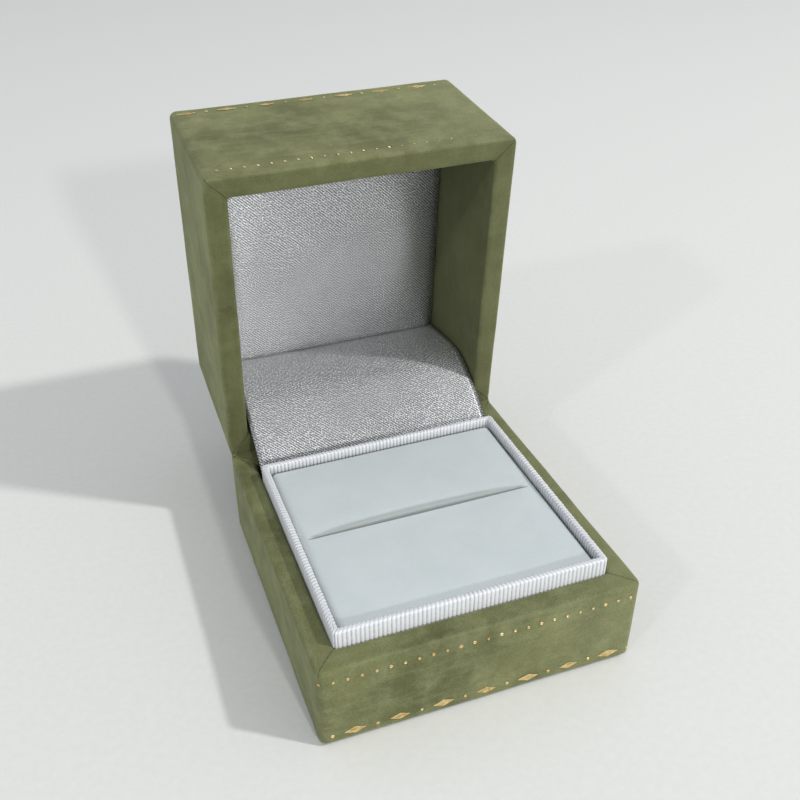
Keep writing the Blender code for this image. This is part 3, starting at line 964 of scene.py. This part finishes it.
def open_slit(bm):
    slit_shade = bm.verts.layers.float.new("painted_slit_shade")
    line = [
        e for e in bm.edges
        if all(abs(v.co.y - SLIT_Y) < 1e-3 and v.co.z > cap_high.z - 0.05 for v in e.verts)
        and abs(e.verts[0].co.x + e.verts[1].co.x) / 2 < SLIT_HALF_LONG
    ]
    bmesh.ops.split_edges(bm, edges=line)
    lips = [e for e in bm.edges if e.is_boundary]
    grown = bmesh.ops.extrude_edge_only(bm, edges=lips)
    bottoms = [g for g in grown["geom"] if isinstance(g, bmesh.types.BMVert)]
    bmesh.ops.translate(bm, verts=bottoms, vec=(0, 0, -SLIT_DEEP))
    floor = set(bottoms)
    for vert in floor:
        vert[slit_shade] = 1.0
    for vert in bm.verts:
        if vert in floor or vert.co.z < cap_high.z - 0.1:
            continue
        away = vert.co.y - SLIT_Y
        if abs(away) < 1e-3:
            around = [f.calc_center_median() for f in vert.link_faces]
            level = [m.y - SLIT_Y for m in around if m.z > cap_high.z - 0.1]
            away = 1e-3 if sum(level) > 0 else -1e-3
        share = slit_share(vert.co.x)
        side = 1 if away > 0 else -1
        near = max(0.0, 1.0 - abs(away) / LIP_REACH)
        radius = (REAR_LIP if side > 0 else FRONT_LIP) * math.sqrt(share)
        if share > 0 and radius > 0 and abs(away) < radius:
            left = radius - abs(away)
            vert.co.z -= radius - math.sqrt(max(0.0, radius * radius - left * left))
        vert.co.y += side * SLIT_HALF_WIDE * share * near
        if side < 0:
            vert.co.z += FRONT_PROUD * share * near * near
        # painted shade in and beside the slit
        vert[slit_shade] = slit_shade_share(away, share)
    bmesh.ops.remove_doubles(bm, verts=bottoms, dist=0.01)
    bm.normal_update()
    bmesh.ops.recalc_face_normals(bm, faces=bm.faces)


bm = pad_block()
open_slit(bm)
puff_up(bm, lambda p: p.z < cap_high.z - PAD_HELD, PAD_PRESSURE, PAD_CAP)
pad = store("ring_pad", bm, flock, sharp=70.0)
soften = pad.modifiers.new("softened", "SUBSURF")
soften.levels = soften.render_levels = 1
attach(pad, "base")
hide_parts("pad_cover")

# %% [markdown]
# ## Satin
#
# The lid is lined with satin, woven so that its shiny threads float in diagonal lines. The lines
# are half a millimetre apart and run at 45 degrees. Between them lie dark hollows, and single
# threads sparkle. The pattern is drawn on a map that follows the cloth, so it stays at 45 degrees
# on the padded panel and on the loose strip alike.

# %% Satin finish
TWILL_PITCH = 0.483
FLOAT_PITCH = 0.38


def stripes(finish, where, pitch_mm, angle):
    """Smooth stripes, 0 to 1, whose lines lie across this direction."""
    turned = add(finish, "Mapping", {"Vector": where, "Rotation": (0, 0, -angle)}).outputs[0]
    along = add(finish, "SeparateXYZ", {0: turned}).outputs[0]
    phase = sum_of(finish, "MULTIPLY", along, 2 * math.pi / (pitch_mm * MM))
    wave = sum_of(finish, "SINE", phase)
    return remap(finish, wave, -1.0, 1.0)


def make_satin():
    finish = new_finish(
        "silver_satin", Roughness=0.45, Specular_IOR_Level=0.7, Metallic=0.8,
        Anisotropic=0.92, Anisotropic_Rotation=0.25, Sheen_Weight=0.1, Sheen_Roughness=0.3,
    )
    weave = place_on(finish, "weave")
    twill = stripes(finish, weave, TWILL_PITCH, math.radians(45.5))
    floats = stripes(finish, weave, FLOAT_PITCH, math.radians(-74))
    sparkle = mottle(finish, weave, 5200, detail=1.0)
    clouds = mottle(finish, weave, 90, detail=3.0)
    ridge = sum_of(finish, "MULTIPLY", twill, remap(finish, floats, 0.0, 1.0, 0.62, 1.0))
    ridge = sum_of(finish, "MULTIPLY", ridge, remap(finish, sparkle, 0.35, 0.62, 0.45, 1.1))
    colour = blend_colours(finish, ridge, (0.085, 0.09, 0.095, 1), (0.90, 0.935, 0.95, 1))
    # painted glints: sparse white specks mixed into the colour
    specks = mottle(finish, weave, 3600, detail=0.0)
    glint = remap(finish, specks, 0.60, 0.66)
    colour = blend_colours(finish, sum_of(finish, "MULTIPLY", glint, 0.95), colour, (1.0, 1.0, 1.0, 1))
    tone = remap(finish, clouds, 0.35, 0.65, 0.96, 1.03)
    feed(finish, "Base Color", shade_with(finish, colour, tone))
    rough = remap(finish, sparkle, 0.35, 0.7, 0.50, 0.38)
    feed(finish, "Roughness", sum_of(finish, "ADD", rough, sum_of(finish, "MULTIPLY", glint, 0.12)))
    feed(finish, "Tangent", add(finish, "Tangent", direction_type="UV_MAP", uv_map="weave").outputs[0])
    lines = raise_surface(finish, ridge, 0.18, 0.03)
    feed(finish, "Normal", raise_surface(finish, sparkle, 0.22, 0.035, lines))
    return finish


satin = make_satin()


# %% [markdown]
# ## Padded satin panel in the lid
#
# The panel is a card with wadding and satin wrapped over it, pushed into the lid. Its edges roll
# back softly. It starts as a rounded block that faces up, is pressed from inside, and is then
# turned to face out of the lid.

# %% Lining panel
def lay_weave(bm):
    """A map that follows the flat cloth, and runs on down the edges."""
    weave = bm.loops.layers.uv.new("weave")
    top = max(v.co.z for v in bm.verts)
    for face in bm.faces:
        for loop in face.loops:
            p = loop.vert.co
            drop = top - p.z
            along, up = (c + math.copysign(drop, c) for c in (p.x, p.y))
            loop[weave].uv = (along * MM, up * MM)


LINING_SNUG = 0.58
LINING_TUCK = 1.0
LINING_HELD = -1.2
LINING_PRESSURE = 0.22
LINING_CAP = 1.3


def lining_block():
    half = (lining_high - lining_low) / 2
    half.x += LINING_SNUG
    half.y += LINING_SNUG + LINING_TUCK / 2
    bm = bmesh.new()
    block(bm, -half, half)
    round_edges(bm, upright_edges(bm), 1.0, 4)
    round_edges(bm, folds_at(bm, half.z), 0.75, 4)
    slice_into_cells(bm, 1.1)
    lay_weave(bm)
    return bm


bm = lining_block()
puff_up(bm, lambda p: p.z < LINING_HELD, LINING_PRESSURE, LINING_CAP)
face_out = Matrix.Rotation(math.pi, 4, "X")
lining_middle = (lining_low + lining_high) / 2 + Vector((0, LINING_TUCK / 2, 0))
lining_place = OPEN_LID @ Matrix.Translation(lining_middle) @ face_out
lining = store("lid_satin_panel", bm, satin, lining_place, sharp=70.0)
soften = lining.modifiers.new("softened", "SUBSURF")
soften.levels = soften.render_levels = 1
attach(lining, "lid")
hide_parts("lid_lining_satin")

# %% [markdown]
# ## The satin strip over the hinge
#
# A loose strip of the same satin hides the hinge. It is glued behind the lining and behind the
# insert, and bows between them. Its line is read from the solid's own side, so it has the same
# length, and it is extruded across the box.

# %% The strip's line
APRON_THICK = 0.35
APRON_CELL = 1.0


def section_of(node):
    """The middle line of a strip's side, in order from its back end to its front end."""
    low, high = box_of(node)
    side = [v.co / MM for v in frame["nodes"][node].data.vertices if v.co.x / MM < low.x + 0.01]
    points = []
    for p in side:
        if all((p - q).length > 1e-3 for q in points):
            points.append(p)
    middles = []
    while points:
        first = points.pop(0)
        mate = min(points, key=lambda p: (p - first).length)
        points.remove(mate)
        middles.append((first + mate) / 2)
    return sorted(middles, key=lambda p: (-p.y, -p.z))


line = section_of("satin_apron")
strip_low, strip_high = box_of("satin_apron")
print("points on the strip's line:", len(line))


# %% Weaving the strip
def satin_strip():
    bm = bmesh.new()
    verts = [bm.verts.new((strip_low.x, p.y, p.z)) for p in line]
    edges = [bm.edges.new(pair) for pair in zip(verts, verts[1:])]
    grown = bmesh.ops.extrude_edge_only(bm, edges=edges)
    moved = [g for g in grown["geom"] if isinstance(g, bmesh.types.BMVert)]
    bmesh.ops.translate(bm, verts=moved, vec=(strip_high.x - strip_low.x, 0, 0))
    rungs = [e for e in bm.edges if abs(e.verts[0].co.y - e.verts[1].co.y) > 0.05]
    bmesh.ops.subdivide_edges(bm, edges=rungs, cuts=2, smooth=1.0, smooth_falloff="LINEAR")
    bm.normal_update()
    for face in bm.faces:
        if face.normal.z < 0:
            face.normal_flip()
    count = round((strip_high.x - strip_low.x) / APRON_CELL)
    for step in range(1, count):
        cut_along(bm, 0, strip_low.x + (strip_high.x - strip_low.x) * step / count)
    bm.normal_update()
    return bm


def run_lengths(bm):
    """How far along the cloth each line of vertices is, from the lining."""
    edge = sorted((v for v in bm.verts if v.co.x < strip_low.x + 0.01), key=lambda v: (-v.co.y, -v.co.z))
    run, so_far = {}, 0.0
    for before, here in zip([edge[0], *edge], edge):
        so_far += (here.co - before.co).length
        run[(round(here.co.y, 3), round(here.co.z, 3))] = so_far
    return run, so_far


bm = satin_strip()
run, strip_length = run_lengths(bm)
weave = bm.loops.layers.uv.new("weave")
for face in bm.faces:
    for loop in face.loops:
        p = loop.vert.co
        loop[weave].uv = (p.x * MM, -run[(round(p.y, 3), round(p.z, 3))] * MM)
make_uneven(bm, 0.12, 16.0, 31)
make_uneven(bm, 0.03, 5.0, 32)
strip = store("satin_hinge_strip", bm, satin, sharp=80.0)
give_thickness(strip, APRON_THICK, offset=0.0)
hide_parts("satin_apron")
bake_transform(strip)

# %% [markdown]
# ## Finishes for the solids that stay
#
# The shells, the card, the foam and the hinge already have their right shapes, so they keep
# their meshes and only get better finishes. Most of them show from behind or from below, at the
# notches where the hinge knuckles sit.

# %% Moulded plastic, card and foam
def make_shell_plastic():
    finish = new_finish("moulded_shell", Roughness=0.5, Specular_IOR_Level=0.4)
    body = place_on(finish)
    swirl = mottle(finish, body, 220, detail=2.0)
    grain = mottle(finish, body, 3600, detail=2.0)
    tone = remap(finish, swirl, 0.35, 0.65)
    feed(finish, "Base Color", blend_colours(finish, tone, (0.045, 0.05, 0.03, 1), (0.065, 0.07, 0.045, 1)))
    feed(finish, "Roughness", remap(finish, grain, 0.3, 0.7, 0.42, 0.62))
    feed(finish, "Normal", raise_surface(finish, grain, 0.25, 0.04))
    return finish


def make_card():
    finish = new_finish("grey_board", Roughness=0.9, Specular_IOR_Level=0.2)
    body = place_on(finish)
    pulp = mottle(finish, body, 1500, detail=4.0, stretch=(1, 0.4, 1))
    flecks = mottle(finish, body, 4200, detail=2.0)
    tone = remap(finish, pulp, 0.35, 0.65)
    colour = blend_colours(finish, tone, (0.42, 0.40, 0.35, 1), (0.58, 0.56, 0.50, 1))
    marks = sum_of(finish, "MULTIPLY", remap(finish, flecks, 0.66, 0.74), 0.5)
    feed(finish, "Base Color", blend_colours(finish, marks, colour, (0.22, 0.20, 0.17, 1)))
    feed(finish, "Normal", raise_surface(finish, pulp, 0.3, 0.06))
    return finish


def make_foam():
    finish = new_finish("open_foam", Roughness=0.95, Specular_IOR_Level=0.15)
    body = place_on(finish)
    links = {"Vector": body, "Scale": 1800.0}
    cells = add(finish, "TexVoronoi", links).outputs["Distance"]
    pores = remap(finish, cells, 0.1, 0.5)
    feed(finish, "Base Color", blend_colours(finish, pores, (0.52, 0.51, 0.46, 1), (0.84, 0.83, 0.79, 1)))
    feed(finish, "Normal", raise_surface(finish, pores, 0.6, 0.2))
    return finish


# %% Plated and blued steel
def make_steel(name, dark, bright, low, high):
    finish = new_finish(name, Metallic=1.0, Roughness=0.35, Specular_IOR_Level=0.5)
    body = place_on(finish)
    drawn = mottle(finish, body, 2600, detail=3.0, stretch=(0.12, 1, 1))
    stain = mottle(finish, body, 500, detail=3.0)
    tone = remap(finish, stain, 0.35, 0.65)
    feed(finish, "Base Color", blend_colours(finish, tone, dark, bright))
    feed(finish, "Roughness", remap(finish, drawn, 0.3, 0.7, low, high))
    feed(finish, "Normal", raise_surface(finish, drawn, 0.3, 0.03))
    return finish


# %% Give each solid its finish
finish_of_slot = {
    "shell_plastic": make_shell_plastic(),
    "grey_card": make_card(),
    "white_foam": make_foam(),
    "plated_steel": make_steel("plated_steel", (0.52, 0.45, 0.30, 1), (0.74, 0.68, 0.52, 1), 0.24, 0.42),
    "spring_steel": make_steel("spring_steel", (0.20, 0.22, 0.27, 1), (0.40, 0.42, 0.46, 1), 0.28, 0.46),
    "olive_suede": suede,
    "white_ribbon": ribbon_finish,
    "white_velvet": flock,
    "silver_satin": satin,
}
for part in frame["record"]["subparts"]:
    solid = frame["nodes"][part["node"]]
    for holder in solid.material_slots:
        holder.material = finish_of_slot[part["material_slot"]]

# %% [markdown]
# ## A plain table and soft light
#
# The box stands on a plain pale floor. Three round lamps light it: a low one in front, a higher
# one on the right and a weak one on the left, so three soft shadows cross on the floor. A pale
# sky fills the rest.

# %% Floor
def make_floor_finish():
    finish = new_finish("pale_floor", Roughness=0.8, Specular_IOR_Level=0.2)
    paper = mottle(finish, place_on(finish), 700, detail=3.0)
    tone = remap(finish, paper, 0.3, 0.7)
    feed(finish, "Base Color", blend_colours(finish, tone, (0.76, 0.762, 0.74, 1), (0.79, 0.792, 0.77, 1)))
    return finish


bm = bmesh.new()
FLOOR_HALF = 1500.0
bmesh.ops.create_grid(bm, x_segments=4, y_segments=4, size=FLOOR_HALF)
floor = store("pale_floor", bm, make_floor_finish())
floor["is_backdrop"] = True


# %% Lights
LAMP_SPREAD = 3.2
AIM = Vector((0, 15, 35))
WARM = (1.0, 0.99, 0.97)
COOL = (0.97, 0.99, 1.0)


def soft_light(name, heading, height, far, watts, tint):
    """A round lamp at this heading, right of the front, this high above the floor, this far."""
    lamp = bpy.data.lights.new(name, "AREA")
    lamp.shape = "DISK"
    lamp.size = 2 * far * math.tan(math.radians(LAMP_SPREAD / 2)) * MM
    lamp.energy = watts
    lamp.color = tint
    holder = bpy.data.objects.new(name, lamp)
    level = Vector((math.sin(math.radians(heading)), -math.cos(math.radians(heading)), 0))
    towards = level * math.cos(math.radians(height)) + Vector((0, 0, math.sin(math.radians(height))))
    facing = towards.to_track_quat("Z", "Y").to_matrix().to_4x4()
    holder.matrix_world = Matrix.Translation((AIM + towards * far) * MM) @ facing
    bpy.context.scene.collection.objects.link(holder)


soft_light("front_lamp", 5, 22, 2500, 19.5, WARM)
soft_light("left_lamp", -60, 33, 3000, 8.0, COOL)
soft_light("right_lamp", 54, 47, 1600, 10.8, WARM)
sky = bpy.data.worlds.new("pale_sky")
sky.use_nodes = True
backdrop = sky.node_tree.nodes["Background"]
backdrop.inputs["Color"].default_value = (0.93, 0.96, 1.0, 1)
backdrop.inputs["Strength"].default_value = 0.57
bpy.context.scene.world = sky

# %% [markdown]
# ## The camera
#
# The camera looks down into the open box from the front left, close enough for the walls to
# converge. Its lens is shifted a little, to keep the box in the middle of a square picture.

# %% Camera
CAMERA_PLACE = (-54.19, -132.58, 139.11)
HEADING, TILT, ROLL = (math.radians(a) for a in (18.36, 33.23, -1.40))
view = bpy.data.cameras.new("camera")
view.lens = 43.18
view.sensor_width = 36.0
view.shift_x, view.shift_y = 0.0438, -0.0027
view.clip_start, view.clip_end = 0.01, 20.0
camera = bpy.data.objects.new("camera", view)
look = Matrix.Rotation(-HEADING, 4, "Z") @ Matrix.Rotation(math.pi / 2 - TILT, 4, "X")
camera.matrix_world = (
    Matrix.Translation(Vector(CAMERA_PLACE) * MM) @ look @ Matrix.Rotation(ROLL, 4, "Z")
)
bpy.context.scene.collection.objects.link(camera)
bpy.context.scene.camera = camera
bpy.context.scene.view_settings.view_transform = "Standard"
print("camera at", CAMERA_PLACE, "mm")

# %% [markdown]
# ## How much the box has grown
#
# The dressed box may be a little larger than the solids, but not much. The last line prints how
# much it has grown, in millimetres.

# %% Sizes
seen_low, seen_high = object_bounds()
growth = (seen_high - seen_low) - (cad_high - cad_low)
print("grown by mm:", [round(g / MM, 2) for g in growth])
